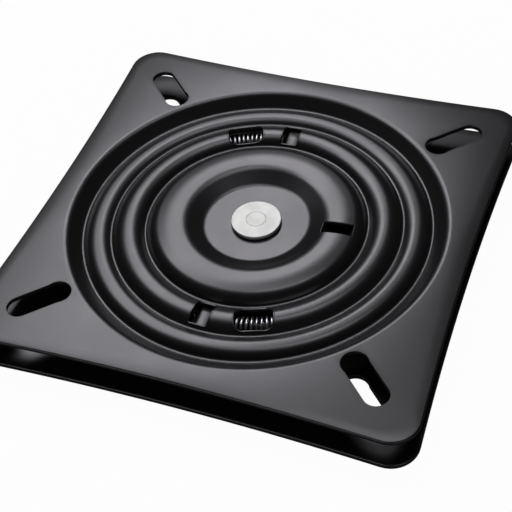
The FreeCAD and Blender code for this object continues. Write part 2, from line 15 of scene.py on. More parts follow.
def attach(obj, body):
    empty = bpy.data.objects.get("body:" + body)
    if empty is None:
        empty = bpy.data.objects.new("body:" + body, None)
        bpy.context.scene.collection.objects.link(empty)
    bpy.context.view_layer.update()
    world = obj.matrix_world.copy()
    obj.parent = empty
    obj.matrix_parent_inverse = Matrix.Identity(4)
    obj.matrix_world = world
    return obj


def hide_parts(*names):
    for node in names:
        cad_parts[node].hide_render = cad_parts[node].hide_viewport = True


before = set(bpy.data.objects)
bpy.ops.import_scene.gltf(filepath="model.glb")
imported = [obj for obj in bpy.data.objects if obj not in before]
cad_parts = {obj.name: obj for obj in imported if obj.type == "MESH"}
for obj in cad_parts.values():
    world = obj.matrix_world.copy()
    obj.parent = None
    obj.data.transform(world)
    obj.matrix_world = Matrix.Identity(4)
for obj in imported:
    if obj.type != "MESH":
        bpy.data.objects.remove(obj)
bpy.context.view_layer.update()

# %% [markdown]
# The sheets are pressed from one tool, so both follow one section. It is written here as the corners of the
# outer face, from the pin hole out to the rim: radius, depth below the mounting face, and bend radius, in
# millimetres. A number stands once, and all that follows is worked out from it.

# %% Sizes of the pressing
MM = 0.001
HEIGHT = 16.5
SEAT_SHEET = 2.0
BASE_SHEET = 2.5
RIM_NOMINAL = 100.0
EDGE_START = 90.0
EDGE_BAND = 6.0
ARRIS = 0.7
BACK_ARRIS = 0.8
PIN = 8.0
PIN_PLAY = 0.04
TUNNEL = 52.0
TUNNEL_HALF = 3.4
TUNNEL_BEND = 7.9
RACE = 64.8
RACE_HALF = 2.9
RACE_BEND = 6.6
BALL = 7.14
BALL_COUNT = 24
SPRING = 9.0
WIRE = 1.1
STRIP_HALF = 2.6
STOP = 93.0
WINDOW_TURN = 22.0
FLOOR = (21.4, 3.8)
DOME_INNER = (28.8, 0.3)
DOME_CROWN = (35.5, 0.0)
DOME_OUTER = (42.2, 0.7)
INNER_VALLEY = (45.0, 4.4)
MIDDLE_VALLEY = (59.0, 4.2)
OUTER_VALLEY = (70.6, 5.0)
RIM_FOOT = (76.5, 0.0)
VALLEY_BEND = 1.2
TURN_STOP = 4.5
TURN_STOP_DEPTH = 4.6
MIDDLE = (HEIGHT + BASE_SHEET - SEAT_SHEET) / 2


def crest(inside, clear):
    """Depth of a bead that clears what runs between the sheets."""
    return (HEIGHT - SEAT_SHEET - BASE_SHEET - inside) / 2 - clear


SPRING_CREST = crest(SPRING, clear=0.3)
BALL_CREST = crest(BALL, clear=0.05)
CORNERS = [
    (PIN / 2 + PIN_PLAY, FLOOR[1], None),
    (*FLOOR, 5.0),
    (*DOME_INNER, 9.0),
    (*DOME_CROWN, 30.0),
    (*DOME_OUTER, 6.5),
    (*INNER_VALLEY, VALLEY_BEND),
    (TUNNEL - TUNNEL_HALF, SPRING_CREST, TUNNEL_BEND),
    (TUNNEL + TUNNEL_HALF, SPRING_CREST, TUNNEL_BEND),
    (*MIDDLE_VALLEY, VALLEY_BEND),
    (RACE - RACE_HALF, BALL_CREST, RACE_BEND),
    (RACE + RACE_HALF, BALL_CREST, RACE_BEND),
    (*OUTER_VALLEY, 1.5),
    (*RIM_FOOT, 4.6),
    (RIM_NOMINAL - ARRIS, 0.0, None),
]
print("bead crests lie", round(SPRING_CREST, 2), "and", round(BALL_CREST, 2), "mm below the mounting face")

# %% [markdown]
# A bend is a short arc that leaves both straight runs without a kink. Each point also keeps its normal,
# because the inner face of a sheet lies one thickness away along it.


# %% Walk along a bent section
def bent_points(corners, step=0.55):
    """Points and normals along straight runs joined by arcs, in millimetres."""
    points = [Vector((r, d)) for r, d, bend in corners]
    walk = [(points[0], (points[1] - points[0]).normalized())]
    for before, corner, after, bend in zip(points, points[1:], points[2:], [c[2] for c in corners[1:-1]]):
        arriving, leaving = (corner - before).normalized(), (after - corner).normalized()
        turn = arriving.angle_signed(leaving)
        reach = bend * math.tan(abs(turn) / 2)
        side = Vector((-arriving.y, arriving.x)) * (-1 if turn > 0 else 1)
        start = corner - arriving * reach
        centre = start + side * bend
        count = max(3, round(abs(turn) * bend / step))
        for k in range(count + 1):
            angle = -turn * k / count
            spoke = start - centre
            spoke = Vector((spoke.x * math.cos(angle) - spoke.y * math.sin(angle),
                            spoke.x * math.sin(angle) + spoke.y * math.cos(angle)))
            along = Vector((arriving.x * math.cos(angle) - arriving.y * math.sin(angle),
                            arriving.x * math.sin(angle) + arriving.y * math.cos(angle)))
            walk.append((centre + spoke, along))
    walk.append((points[-1], (points[-1] - points[-2]).normalized()))
    return [(p, Vector((-a.y, a.x))) for p, a in walk]


def sheet_loop(thickness):
    """The closed section of one sheet: outer face, rounded arris, edge, softened inner edge, inner face."""
    outer = bent_points(CORNERS)
    angles = [math.pi / 2 * k / 5 for k in range(1, 6)]
    rim = [(RIM_NOMINAL - ARRIS + ARRIS * math.sin(a), ARRIS - ARRIS * math.cos(a)) for a in angles]
    back_rim = [(RIM_NOMINAL - BACK_ARRIS + BACK_ARRIS * math.cos(a),
                 thickness - BACK_ARRIS + BACK_ARRIS * math.sin(a)) for a in [0] + angles]
    inner = [p + normal * thickness for p, normal in reversed(outer)]
    band_start = RIM_NOMINAL - EDGE_BAND
    loop = [tuple(p) for p, normal in outer[:-1]] + [(band_start, 0.0), tuple(outer[-1][0])] + rim
    loop += back_rim + [(band_start, thickness)] + [tuple(p) for p in inner[1:]]
    return loop


print("points round a section:", len(sheet_loop(SEAT_SHEET)))


# %% [markdown]
# A node tree is built in code here, so a few short helpers keep it readable: one adds a node and feeds its
# inputs, one opens a new tree with named inputs, and one runs a finished tree on an empty mesh and keeps the
# plain result.


# %% Helpers for node trees
def feed(tree, socket, value):
    """Link another socket to this one, or write a plain value on it."""
    if isinstance(value, bpy.types.NodeSocket):
        tree.links.new(value, socket)
    elif value is not None:
        socket.default_value = value


def add(tree, kind, **inputs):
    """A new node whose inputs are fed by their names."""
    node = tree.nodes.new(kind)
    for title, value in inputs.items():
        feed(tree, node.inputs[title.replace("_", " ")], value)
    return node


def maths(tree, operation, *values):
    node = tree.nodes.new("ShaderNodeMath")
    node.operation = operation
    for socket, value in zip(node.inputs, values):
        feed(tree, socket, value)
    return node.outputs[0]


def place_round(tree, distance, angle, height):
    """A place given by its distance from the axis, its angle about it and its height."""
    x = maths(tree, "MULTIPLY", distance, maths(tree, "COSINE", angle))
    y = maths(tree, "MULTIPLY", distance, maths(tree, "SINE", angle))
    return add(tree, "ShaderNodeCombineXYZ", X=x, Y=y, Z=height).outputs[0]


def new_tree(name, inputs):
    """A Geometry Nodes tree with named inputs: (name, socket type, default value)."""
    tree = bpy.data.node_groups.new(name, "GeometryNodeTree")
    for title, kind, value in inputs:
        socket = tree.interface.new_socket(title, in_out="INPUT", socket_type=kind)
        if value is not None:
            socket.default_value = value
    tree.interface.new_socket("Geometry", in_out="OUTPUT", socket_type="NodeSocketGeometry")
    return tree, tree.nodes.new("NodeGroupInput").outputs, tree.nodes.new("NodeGroupOutput").inputs


def close_tree(tree, geometry, material, result):
    """End a tree: real geometry in place of instances, then its material."""
    whole = add(tree, "GeometryNodeRealizeInstances", Geometry=geometry)
    painted = add(tree, "GeometryNodeSetMaterial", Geometry=whole.outputs[0], Material=material)
    feed(tree, result[0], painted.outputs[0])


def run_tree(name, tree, material, **values):
    """Run a tree and keep what it makes as a plain mesh object. Inputs are set by their identifiers."""
    thing = bpy.data.objects.new(name + "_run", bpy.data.meshes.new(name + "_run"))
    bpy.context.scene.collection.objects.link(thing)
    modifier = thing.modifiers.new(tree.name, "NODES")
    modifier.node_group = tree
    titles = {item.name: item.identifier for item in tree.interface.items_tree if item.in_out == "INPUT"}
    for title, value in {**values, "Material": material}.items():
        modifier[titles[title.replace("_", " ")]] = value
    bpy.context.view_layer.update()
    made = bpy.data.meshes.new_from_object(thing.evaluated_get(bpy.context.evaluated_depsgraph_get()))
    modifier.node_group = None
    bpy.data.objects.remove(thing)
    made.name = name
    return mesh_to_object(name, made)


def mesh_to_object(name, mesh):
    thing = bpy.data.objects.new(name, mesh)
    bpy.context.scene.collection.objects.link(thing)
    return thing


def mesh_object(name, vertices, edges=(), faces=()):
    mesh = bpy.data.meshes.new(name)
    mesh.from_pydata([tuple(v) for v in vertices], list(edges), list(faces))
    return mesh_to_object(name, mesh)


def drop(*things):
    for thing in things:
        bpy.data.objects.remove(thing)


print("helpers for trees and meshes ready")

# %% [markdown]
# Finishes come next, because every tree ends with the material of its piece. The effects that several
# finishes share are node groups: a fine grain for sprayed paint and tumbled metal, soft patches for handling
# and oil, slow waves of pressed sheet, dust, and turning marks that run round the pin.


# %% Helpers for shared effects
def new_group(name, inputs, outputs):
    group = bpy.data.node_groups.new(name, "ShaderNodeTree")
    for title, value in inputs:
        socket = group.interface.new_socket(title, in_out="INPUT", socket_type="NodeSocketFloat")
        socket.default_value = value
    for title in outputs:
        group.interface.new_socket(title, in_out="OUTPUT", socket_type="NodeSocketFloat")
    return group, group.nodes.new("NodeGroupInput").outputs, group.nodes.new("NodeGroupOutput").inputs


def noise(tree, coordinates, scale, detail=3.0, roughness=0.55):
    return add(tree, "ShaderNodeTexNoise", Vector=coordinates, Scale=scale, Detail=detail,
               Roughness=roughness).outputs["Fac"]


def spread(tree, value, low, high, out_low=0.0, out_high=1.0):
    """Stretch a value from one range to another."""
    return add(tree, "ShaderNodeMapRange", Value=value, From_Min=low, From_Max=high, To_Min=out_low,
               To_Max=out_high).outputs["Result"]


def object_place(tree):
    return tree.nodes.new("ShaderNodeTexCoord").outputs["Object"]


print("helpers for shared effects ready")

# %% Grain, patches, waves, dust and turning marks
grain_inputs = [("Scale", 900.0), ("Second Scale", 2600.0)]
grain_group, given, made = new_group("Sprayed grain", grain_inputs, ["Height"])
place = object_place(grain_group)
coarse = noise(grain_group, place, given["Scale"])
fine = noise(grain_group, place, given["Second Scale"])
feed(grain_group, made["Height"], maths(grain_group, "MULTIPLY_ADD", fine, 0.4, coarse))

patch_inputs = [("Scale", 26.0), ("Low", 0.42), ("High", 0.66)]
patch_group, given, made = new_group("Handled patches", patch_inputs, ["Mask"])
patches = noise(patch_group, object_place(patch_group), given["Scale"], detail=5.0, roughness=0.6)
feed(patch_group, made["Mask"], spread(patch_group, patches, given["Low"], given["High"]))

wave_group, given, made = new_group("Pressed waves", [("Scale", 24.0)], ["Height"])
slow = noise(wave_group, object_place(wave_group), given["Scale"], detail=1.5, roughness=0.45)
feed(wave_group, made["Height"], slow)

speck_group, given, made = new_group("Dust specks", [("Scale", 420.0), ("Size", 0.16)], ["Mask"])
cells = add(speck_group, "ShaderNodeTexVoronoi", Vector=object_place(speck_group), Scale=given["Scale"])
near = maths(speck_group, "SUBTRACT", given["Size"], cells.outputs["Distance"])
thin = noise(speck_group, object_place(speck_group), 90.0)
few = spread(speck_group, thin, 0.56, 0.62)
feed(speck_group, made["Mask"], maths(speck_group, "MULTIPLY", spread(speck_group, near, 0.0, 0.06), few))

turn_group, given, made = new_group("Turning marks", [("Pitch", 0.00022)], ["Height", "Shade"])
apart = add(turn_group, "ShaderNodeSeparateXYZ", Vector=object_place(turn_group)).outputs
across = maths(turn_group, "MULTIPLY", apart["X"], apart["X"])
radius = maths(turn_group, "SQRT", maths(turn_group, "MULTIPLY_ADD", apart["Y"], apart["Y"], across))
ring_noise = add(turn_group, "ShaderNodeTexNoise", Scale=0.9, Detail=2.0)
ring_noise.noise_dimensions = "1D"
feed(turn_group, ring_noise.inputs["W"], maths(turn_group, "DIVIDE", radius, given["Pitch"]))
feed(turn_group, made["Height"], ring_noise.outputs["Fac"])
feed(turn_group, made["Shade"], spread(turn_group, ring_noise.outputs["Fac"], 0.3, 0.7, 0.82, 1.0))
print("shared effects:", [g.name for g in (grain_group, patch_group, wave_group, speck_group, turn_group)])


# %% Helpers for a material
def place_group(tree, group, **values):
    node = tree.nodes.new("ShaderNodeGroup")
    node.node_tree = group
    for title, value in values.items():
        node.inputs[title].default_value = value
    return node.outputs


def blend_colours(tree, mask, first, second):
    node = tree.nodes.new("ShaderNodeMix")
    node.data_type = "RGBA"
    feed(tree, node.inputs["Factor"], mask)
    for socket, value in ((node.inputs[6], first), (node.inputs[7], second)):
        feed(tree, socket, value if isinstance(value, bpy.types.NodeSocket) else (*value, 1.0))
    return node.outputs[2]


def new_finish(name, colour, metallic, roughness):
    material = bpy.data.materials.new(name)
    material.use_nodes = True
    material.diffuse_color = (*colour, 1.0)
    shader = material.node_tree.nodes["Principled BSDF"]
    shader.inputs["Base Color"].default_value = (*colour, 1.0)
    shader.inputs["Metallic"].default_value = metallic
    shader.inputs["Roughness"].default_value = roughness
    return material, material.node_tree, shader


def vary(tree, shader, mask, colours, roughness):
    """Let one mask move both the colour and the roughness between two values."""
    feed(tree, shader.inputs["Base Color"], blend_colours(tree, mask, *colours))
    feed(tree, shader.inputs["Roughness"], spread(tree, mask, 0, 1, *roughness))


def raise_surface(tree, shader, height, strength, distance):
    bump = add(tree, "ShaderNodeBump", Strength=strength, Distance=distance, Height=height)
    feed(tree, shader.inputs["Normal"], bump.outputs["Normal"])


print("helpers for a material ready")

# %% [markdown]
# The sheets are stoved in a satin black that is a little violet in the light. Sprayed paint is never quite
# flat: it has a fine grain, slightly glossier patches where hands and tools have been, and a few specks of
# dust. The pressing itself leaves slow waves in the sheet. Both heights are in metres.

# %% Black stoved paint
GRAIN_HEIGHT = 6e-6
WAVE_HEIGHT = 2.6e-4
DUST_GREY = (0.022, 0.022, 0.024)
paint, tree, shader = new_finish("Black stoved paint", (0.006, 0.0058, 0.0064), 0.0, 0.30)
patches = place_group(tree, patch_group, Scale=26.0)["Mask"]
specks = place_group(tree, speck_group)["Mask"]
worn = blend_colours(tree, patches, (0.0055, 0.0052, 0.0058), (0.0075, 0.0072, 0.0080))
feed(tree, shader.inputs["Base Color"], blend_colours(tree, specks, worn, DUST_GREY))
feed(tree, shader.inputs["Roughness"], spread(tree, patches, 0.0, 1.0, 0.315, 0.28))
grain = maths(tree, "MULTIPLY", place_group(tree, grain_group)["Height"], GRAIN_HEIGHT)
waves = place_group(tree, wave_group)["Height"]
relief = maths(tree, "MULTIPLY_ADD", waves, WAVE_HEIGHT, grain)
raise_surface(tree, shader, relief, strength=1.0, distance=1.0)
print("paint is made from", len(tree.nodes), "nodes")

# %% [markdown]
# The washer and the pin are zinc plated and finely turned, the springs are oiled wire, and the balls are
# polished. The cage, the slip washer and the bush are plain nylon. The brightest metal is kept a little dull,
# because plated washers come out of the barrel that way.

# %% Metals and nylon
zinc, tree, shader = new_finish("Bright zinc plate", (0.60, 0.61, 0.57), 1.0, 0.62)
marks = place_group(tree, turn_group)
shades = blend_colours(tree, marks["Shade"], (0.545, 0.555, 0.52), (0.62, 0.63, 0.59))
feed(tree, shader.inputs["Base Color"], shades)
patches = place_group(tree, patch_group, Scale=160.0)["Mask"]
feed(tree, shader.inputs["Roughness"], spread(tree, patches, 0, 1, 0.59, 0.65))
raise_surface(tree, shader, marks["Height"], strength=0.20, distance=0.00003)

spring_steel, tree, shader = new_finish("Oiled spring wire", (0.60, 0.60, 0.61), 1.0, 0.28)
oil = place_group(tree, patch_group, Scale=240.0)["Mask"]
vary(tree, shader, oil, [(0.52, 0.52, 0.53), (0.66, 0.66, 0.67)], (0.24, 0.34))
drawn_grain = place_group(tree, grain_group, Scale=2400.0)["Height"]
raise_surface(tree, shader, drawn_grain, strength=0.1, distance=0.00003)

ball_steel, tree, shader = new_finish("Polished ball steel", (0.70, 0.70, 0.71), 1.0, 0.12)
film = place_group(tree, patch_group, Scale=300.0)["Mask"]
vary(tree, shader, film, [(0.74, 0.74, 0.75), (0.62, 0.61, 0.59)], (0.10, 0.22))

nylon, tree, shader = new_finish("Natural nylon", (0.74, 0.72, 0.66), 0.0, 0.45)
clouds = place_group(tree, patch_group, Scale=90.0)["Mask"]
vary(tree, shader, clouds, [(0.70, 0.68, 0.61), (0.78, 0.76, 0.71)], (0.40, 0.52))
moulded_grain = place_group(tree, grain_group, Scale=1500.0)["Height"]
raise_surface(tree, shader, moulded_grain, strength=0.12, distance=0.00005)
print("finishes:", [m.name for m in (paint, zinc, spring_steel, ball_steel, nylon)])

# %% [markdown]
# A pressed sheet is its section carried once round the axis, so a grid can be laid on it: one way round, one
# way along the section. Only the outline isn't round. Every point drawn outside EDGE_START belongs to the
# edge and moves out or in with the square outline, whose sides are flat arcs and whose corners are round.

# %% Outline of the sheet
SIDE = 179.4
BOW = 2.8
CORNER = 11.0
half = SIDE / 2
side_arc = (half * half + BOW * BOW) / (BOW * 2)
side_centre = half - BOW + side_arc
reach = side_arc + CORNER
corner_centre = (side_centre - math.sqrt(2 * reach * reach - side_centre * side_centre)) / 2
meeting = math.atan2(corner_centre, side_centre - corner_centre)
touch = Vector((side_centre, 0)) - Vector((math.cos(meeting), -math.sin(meeting))) * side_arc
meeting_angle = math.atan2(touch.y, touch.x)
print("a side meets its round corner", round(math.degrees(meeting_angle), 2), "degrees from its middle")

# %% Tree of a pressed sheet
ROUND_STEPS = 432
sheet_tree, given, result = new_tree("Pressed sheet", [
    ("Section", "NodeSocketObject", None), ("Points", "NodeSocketInt", 100),
    ("Steps", "NodeSocketInt", ROUND_STEPS), ("Side Centre", "NodeSocketFloat", 1.0),
    ("Side Arc", "NodeSocketFloat", 1.0), ("Corner Centre", "NodeSocketFloat", 1.0),
    ("Corner Radius", "NodeSocketFloat", 1.0), ("Meeting Angle", "NodeSocketFloat", 1.0),
    ("Cutters", "NodeSocketObject", None), ("Material", "NodeSocketMaterial", None)])
grid = add(sheet_tree, "GeometryNodeMeshGrid", Vertices_X=maths(sheet_tree, "ADD", given["Steps"], 1.0),
           Vertices_Y=maths(sheet_tree, "ADD", given["Points"], 1.0))
position = sheet_tree.nodes.new("GeometryNodeInputPosition").outputs[0]
where = add(sheet_tree, "ShaderNodeSeparateXYZ", Vector=position).outputs
angle = maths(sheet_tree, "MULTIPLY", maths(sheet_tree, "ADD", where["X"], 0.5), math.tau)
share = maths(sheet_tree, "ADD", where["Y"], 0.5)
along = maths(sheet_tree, "ROUND", maths(sheet_tree, "MULTIPLY", share, given["Points"]))
section_info = add(sheet_tree, "GeometryNodeObjectInfo", Object=given["Section"])
picked = sheet_tree.nodes.new("GeometryNodeSampleIndex")
picked.data_type = "FLOAT_VECTOR"
feed(sheet_tree, picked.inputs["Geometry"], section_info.outputs["Geometry"])
feed(sheet_tree, picked.inputs["Value"], position)
feed(sheet_tree, picked.inputs["Index"], maths(sheet_tree, "MODULO", along, given["Points"]))
drawn = add(sheet_tree, "ShaderNodeSeparateXYZ", Vector=picked.outputs["Value"]).outputs
print("inputs and output of the tree:", [item.name for item in sheet_tree.interface.items_tree])

# %% [markdown]
# The distance from the axis to the outline at some angle has two cases. Near the middle of a side the ray
# meets the side's flat arc, and near a diagonal it meets the corner's arc. Folding the angle into one eighth
# of the square leaves just these two formulas.

# %% Distance to the outline
quarter = maths(sheet_tree, "DIVIDE", angle, math.pi / 2)
fold = maths(sheet_tree, "SUBTRACT", quarter, maths(sheet_tree, "ROUND", quarter))
fold = maths(sheet_tree, "MULTIPLY", maths(sheet_tree, "ABSOLUTE", fold), math.pi / 2)


def ray_to_circle(tree, centre, radius, angle, side):
    """Distance along a ray to a circle whose centre is off the axis: the near side or the far side."""
    ahead = maths(tree, "MULTIPLY", centre, maths(tree, "COSINE", angle))
    aside = maths(tree, "MULTIPLY", centre, maths(tree, "SINE", angle))
    square = maths(tree, "MULTIPLY", aside, aside)
    depth = maths(tree, "SUBTRACT", maths(tree, "MULTIPLY", radius, radius), square)
    root = maths(tree, "SQRT", maths(tree, "MAXIMUM", depth, 0.0))
    return maths(tree, "MULTIPLY_ADD", root, side, ahead)


to_side = ray_to_circle(sheet_tree, given["Side Centre"], given["Side Arc"], fold, -1.0)
off_diagonal = maths(sheet_tree, "SUBTRACT", math.pi / 4, fold)
diagonal_centre = maths(sheet_tree, "MULTIPLY", given["Corner Centre"], math.sqrt(2))
to_corner = ray_to_circle(sheet_tree, diagonal_centre, given["Corner Radius"], off_diagonal, 1.0)
choice = sheet_tree.nodes.new("GeometryNodeSwitch")
choice.input_type = "FLOAT"
feed(sheet_tree, choice.inputs["Switch"], maths(sheet_tree, "GREATER_THAN", fold, given["Meeting Angle"]))
feed(sheet_tree, choice.inputs["False"], to_side)
feed(sheet_tree, choice.inputs["True"], to_corner)
at_edge = maths(sheet_tree, "GREATER_THAN", drawn["X"], EDGE_START * MM)
offset = maths(sheet_tree, "SUBTRACT", choice.outputs[0], RIM_NOMINAL * MM)
distance = maths(sheet_tree, "ADD", drawn["X"], maths(sheet_tree, "MULTIPLY", offset, at_edge))
print("points drawn more than", EDGE_START, "mm out move with the outline")

# %% Close the sheet and cut its openings
final = place_round(sheet_tree, distance, angle, drawn["Z"])
placed = add(sheet_tree, "GeometryNodeSetPosition", Geometry=grid.outputs["Mesh"], Position=final)
merged = add(sheet_tree, "GeometryNodeMergeByDistance", Geometry=placed.outputs[0], Distance=0.002 * MM)
cutter_info = add(sheet_tree, "GeometryNodeObjectInfo", Object=given["Cutters"])
cut = sheet_tree.nodes.new("GeometryNodeMeshBoolean")
cut.operation = "DIFFERENCE"
cut.solver = "EXACT"
feed(sheet_tree, cut.inputs["Mesh 1"], merged.outputs[0])
feed(sheet_tree, cut.inputs["Mesh 2"], cutter_info.outputs["Geometry"])
close_tree(sheet_tree, cut.outputs["Mesh"], given["Material"], result)
print("tree of the sheet has", len(sheet_tree.nodes), "nodes")

# %% [markdown]
# What is punched out is a set of upright prisms: four bolt slots with a round eye at the inner end, two
# windows over the springs, two openings for the spring stops and, in one sheet, the opening of the turn stop.
# A prism is drawn as rounded corners in a plane, then raised through the sheet. A slot is measured from the
# corner of the plain square, along the diagonal.


# %% Punches
def rounded_outline(corners, radius, steps=8):
    """A convex outline with round corners, counter-clockwise, in millimetres."""
    points = [Vector(c) for c in corners]
    outline = []
    for before, corner, after in zip(points[-1:] + points[:-1], points, points[1:] + points[:1]):
        arriving, leaving = (corner - before).normalized(), (after - corner).normalized()
        side = Vector((-arriving.y, arriving.x))
        start = corner - arriving * radius
        centre = start + side * radius
        for k in range(steps + 1):
            angle = math.pi / 2 * k / steps
            outline.append(centre - side * radius * math.cos(angle) + arriving * radius * math.sin(angle))
    return outline


def prism(outline, turn, low=-6.0, high=12.0):
    """Vertices and faces of an upright prism, turned about the axis by some degrees."""
    spin = Matrix.Rotation(math.radians(turn), 2)
    flat = [spin @ p for p in outline]
    count = len(flat)
    vertices = [(p.x, p.y, z) for z in (low, high) for p in flat]
    faces = [tuple(reversed(range(count))), tuple(range(count, 2 * count))]
    faces += [(k, (k + 1) % count, count + (k + 1) % count, count + k) for k in range(count)]
    return vertices, faces


def box_outline(middle, length, width, radius):
    """A rounded box whose length lies along the radius."""
    a, b, w = middle - length / 2, middle + length / 2, width / 2
    return rounded_outline([(a, -w), (b, -w), (b, w), (a, w)], radius)


SLOT_INSET, SLOT_LENGTH, SLOT_WIDTH = 34.85, 26.0, 10.2
EYE, EYE_STEPS = 10.8, 32
slot_middle = SIDE / 2 * math.sqrt(2) - SLOT_INSET
eye_centre = slot_middle - SLOT_LENGTH / 2 + EYE / 2
slot_end = slot_middle + SLOT_LENGTH / 2
end_round = SLOT_WIDTH / 2 - 0.1
straight = box_outline((eye_centre + slot_end) / 2, slot_end - eye_centre, SLOT_WIDTH, end_round)
arc_start = math.asin(SLOT_WIDTH / EYE)
eye_angles = [arc_start + (math.tau - 2 * arc_start) * k / EYE_STEPS for k in range(EYE_STEPS + 1)]
slot_outline = [Vector((eye_centre + EYE / 2 * math.cos(a), EYE / 2 * math.sin(a))) for a in eye_angles]
slot_outline += [p for p in straight if p.x > eye_centre + SLOT_WIDTH / 2]

# %% [markdown]
# An opening is written once, as outline, turn and the lift of its lip. The same list then serves the punches
# and the lips. Lips on the crest of a bead stand a little proud, and those on the flat rim don't.

# %% Openings
LIP_LIFT = 0.14
strip_outline = box_outline(TUNNEL, length=10.4, width=7.6, radius=0.8)
window_outline = box_outline(TUNNEL, length=10.2, width=15.0, radius=3.4)
openings = [(slot_outline, quarter_turn, 0.0) for quarter_turn in (45, 135, 225, 315)]
for turn in (STOP, -STOP):
    openings += [(strip_outline, turn, LIP_LIFT), (window_outline, turn - WINDOW_TURN, LIP_LIFT)]
punches = [prism(outline, turn) for outline, turn, lift in openings]
TURN_START, TURN_END = 27.6, 39.8
turn_stop_outline = box_outline((TURN_START + TURN_END) / 2, TURN_END - TURN_START, width=6.2, radius=0.4)
turn_stop_punch = prism(turn_stop_outline, -TURN_STOP)
print(len(punches), "openings in both sheets, one more in the upper sheet")


def punch_object(name, prisms):
    vertices, faces = [], []
    for corners, sides in prisms:
        faces += [tuple(k + len(vertices) for k in side) for side in sides]
        vertices += [Vector(c) * MM for c in corners]
    return mesh_object(name, vertices, (), faces)


# %% [markdown]
# The spring stops and the turn stop are strips of the sheet itself, cut free along both sides and pressed
# down. Each is a bent band: its face line is given in radius and depth, and the back lies one thickness
# below.


# %% Pressed strips
def softened(thing, width):
    """Round the sharp edges of a small piece and keep the result as its mesh."""
    work = bmesh.new()
    work.from_mesh(thing.data)
    bmesh.ops.recalc_face_normals(work, faces=work.faces)
    bmesh.ops.bevel(work, geom=list(work.edges), offset=width * MM, segments=3, profile=0.5, affect="EDGES",
                    clamp_overlap=True)
    bmesh.ops.recalc_face_normals(work, faces=work.faces)
    work.to_mesh(thing.data)
    work.free()
    return thing


def band(face, thickness, turn, width=2 * STRIP_HALF, soft=0.25):
    """A bent band of sheet metal along a radius, with softened edges."""
    back = [(x, y + thickness) for x, y in reversed(face)]
    loop = face + back
    count = len(loop)
    vertices = [Vector((x, side * width / 2, z)) * MM for side in (-1, 1) for x, z in loop]
    faces = [tuple(range(count)), tuple(reversed(range(count, 2 * count)))]
    faces += [(k, count + k, count + (k + 1) % count, (k + 1) % count) for k in range(count)]
    thing = mesh_object("band", vertices, (), faces)
    thing.data.transform(Matrix.Rotation(math.radians(turn), 4, "Z"))
    return softened(thing, soft)


def depth_between(near, far, radius):
    return near[1] + (far[1] - near[1]) * (radius - near[0]) / (far[0] - near[0])


def spring_stop_face():
    flat, depth, root = 3.4, 5.4, 0.9
    return [(INNER_VALLEY[0] + root, INNER_VALLEY[1]), (TUNNEL - flat, depth), (TUNNEL + flat, depth),
            (MIDDLE_VALLEY[0] - root, MIDDLE_VALLEY[1])]


def turn_stop_face():
    drop_length, root = 2.6, 0.6
    first, last = TURN_START - root, TURN_END + root
    return [(first, depth_between(FLOOR, DOME_INNER, first)), (TURN_START + drop_length, TURN_STOP_DEPTH),
            (TURN_END - drop_length, TURN_STOP_DEPTH), (last, depth_between(DOME_CROWN, DOME_OUTER, last))]


print("a strip is", 2 * STRIP_HALF, "mm wide")

# %% [markdown]
# Punching turns the edge of an opening over a little, and the paint thickens there. That lip catches the
# light all round, so it is laid on as a thin bead that follows the pressed face.


# %% Lips round the openings
outer_face = [p for p, normal in bent_points(CORNERS)]


def face_depth(radius):
    """Depth of the pressed outer face at a radius."""
    for near, far in zip(outer_face, outer_face[1:]):
        if near.x <= radius <= far.x and far.x > near.x:
            return near.y + (far.y - near.y) * (radius - near.x) / (far.x - near.x)
    return 0.0


def lip(outline, turn, lift=0.0, reach=0.45, proud=0.25, sides=10):
    """The rounded lip of an opening: a closed tube of some sides along its outline."""
    spin = Matrix.Rotation(math.radians(turn), 2)
    flat = [p for k, p in enumerate(outline) if (p - outline[k - 1]).length > 1e-4]
    vertices, faces, count = [], [], len(flat)
    for before, point, after in zip(flat[-1:] + flat[:-1], flat, flat[1:] + flat[:1]):
        along = ((point - before).normalized() + (after - point).normalized()).normalized()
        out = Vector((along.y, -along.x))
        middle = point + out * (reach - proud)
        depth = face_depth(middle.length) + reach - lift
        for k in range(sides):
            angle = math.tau * k / sides
            place = spin @ (middle + out * reach * math.cos(angle))
            vertices.append(Vector((place.x, place.y, depth + reach * math.sin(angle))) * MM)
    for ring in range(count):
        for k in range(sides):
            a, b = ring * sides + k, ring * sides + (k + 1) % sides
            c, d = (ring + 1) % count * sides + (k + 1) % sides, (ring + 1) % count * sides + k
            faces.append((a, b, c, d))
    return mesh_object("lip", vertices, (), faces)


def divided(outline, step=0.8):
    """The same outline with its long runs divided, so that a lip can follow a curved face."""
    points = []
    for start, end in zip(outline, outline[1:] + outline[:1]):
        count = max(1, round((end - start).length / step))
        points += [start + (end - start) * k / count for k in range(count)]
    return points


def all_lips():
    return [lip(divided(outline), turn, lift) for outline, turn, lift in openings]


print("the outer face is drawn with", len(outer_face), "points")

# %% [markdown]
# Two ears are bent up from the dome of the lower sheet. Each stands beside the turn stop when the seat has
# come to the end of its travel, and the metal for it comes out of the opening next to it.


# %% Ears
EAR = (32.4, 37.4)
EAR_GAP = 0.2
EAR_OVERLAP = 1.4
PUNCH_MARGIN = 0.3
EAR_NEAR = STRIP_HALF + EAR_GAP
EAR_FAR = EAR_NEAR + BASE_SHEET
EAR_FOOT = DOME_CROWN[1] + BASE_SHEET / 2
EAR_TOP = HEIGHT - TURN_STOP_DEPTH - SEAT_SHEET + EAR_OVERLAP


def ear_punch(side):
    """The opening that the metal of an ear leaves behind it."""
    low, high = sorted((side * EAR_FAR, side * (EAR_FAR + EAR_TOP - EAR_FOOT)))
    near, far = EAR[0] - PUNCH_MARGIN, EAR[1] + PUNCH_MARGIN
    corners = [(near, low), (far, low), (far, high), (near, high)]
    return prism([Vector(c) for c in corners], TURN_STOP + 90 * side)


